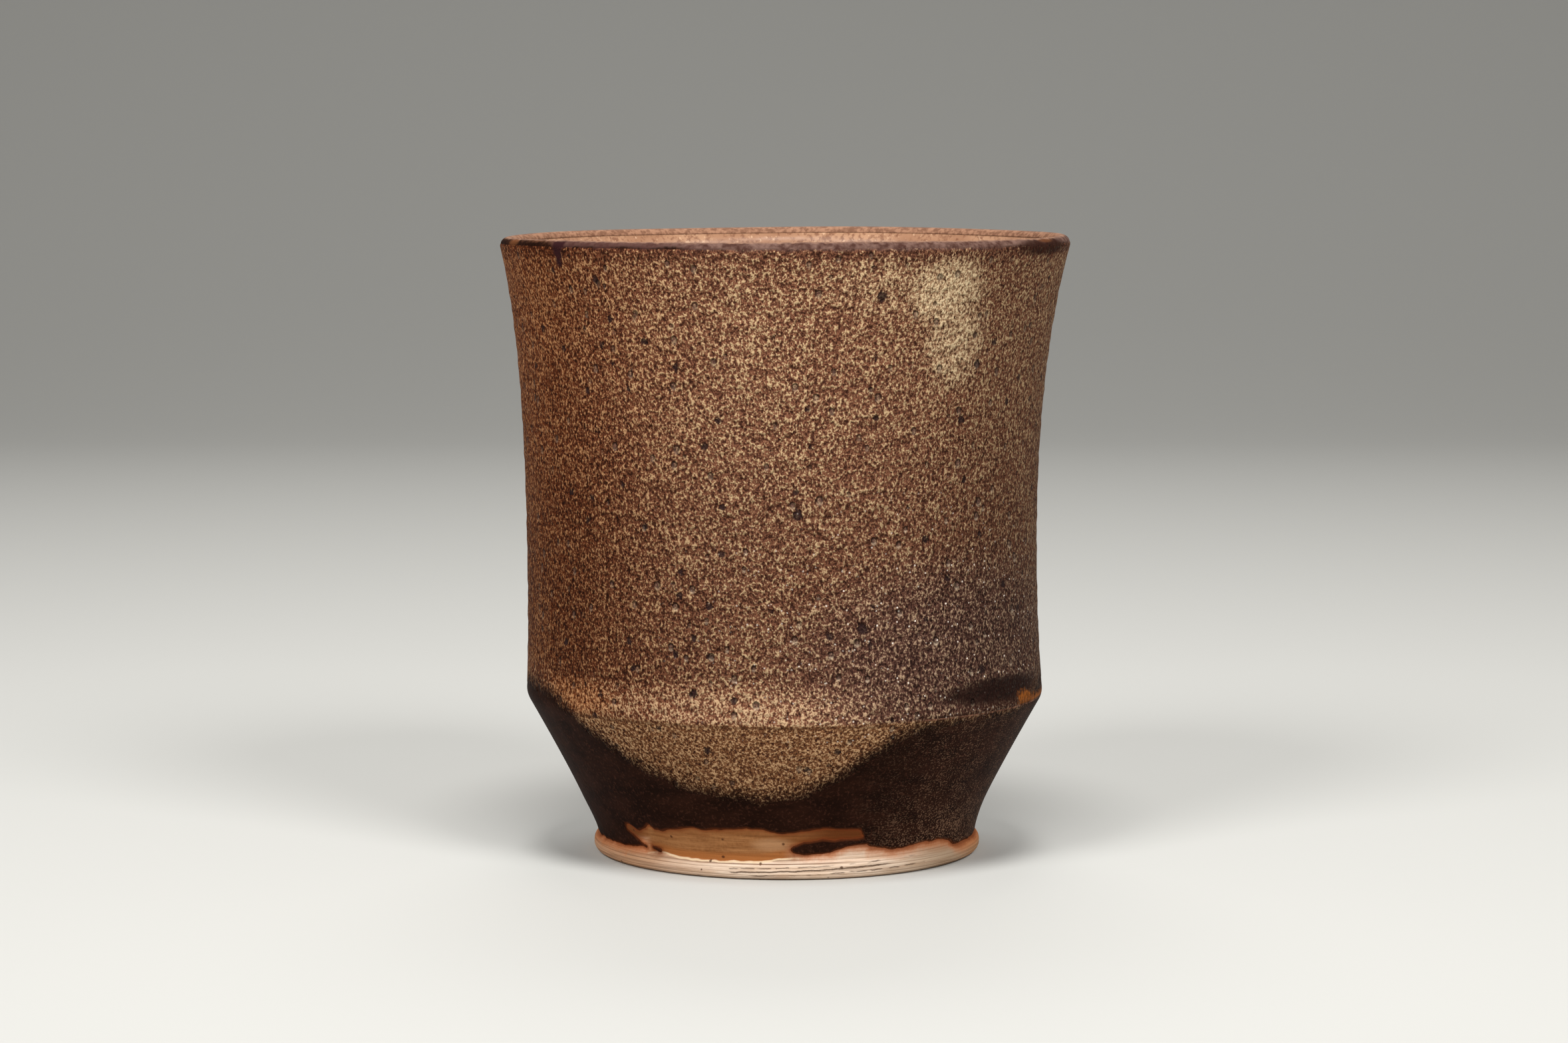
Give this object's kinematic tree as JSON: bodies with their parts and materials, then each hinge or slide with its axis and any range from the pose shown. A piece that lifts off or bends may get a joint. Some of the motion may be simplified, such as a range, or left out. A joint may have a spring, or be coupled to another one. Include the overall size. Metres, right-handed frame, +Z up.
{
  "type": "stoneware cup",
  "caption": "Handle-less wheel-thrown stoneware cup: turned foot, flared cone, sharp shoulder, waisted wall with flared lip, dark glaze under a dipped speckled tan glaze.",
  "frame": {"origin": "centre of the foot, on the surface that the cup stands on", "axes": "+Z up along the cup's axis, -Y towards the pictured front, +X to the right in the picture"},
  "size_m": [0.0858, 0.0858, 0.0935],
  "materials": {
    "clay": "matte fired stoneware clay, bare at the foot",
    "dark_glaze": "satin dark chocolate iron glaze",
    "speckled_glaze": "satin tan glaze with dark brown speckles",
    "liner_glaze": "satin peach glaze with fine brown speckles"
  },
  "bodies": {
    "root": {"clay_body": "clay", "dark_glaze": "dark_glaze", "speckled_glaze": "speckled_glaze", "liner_glaze": "liner_glaze"}
  },
  "joints": []
}
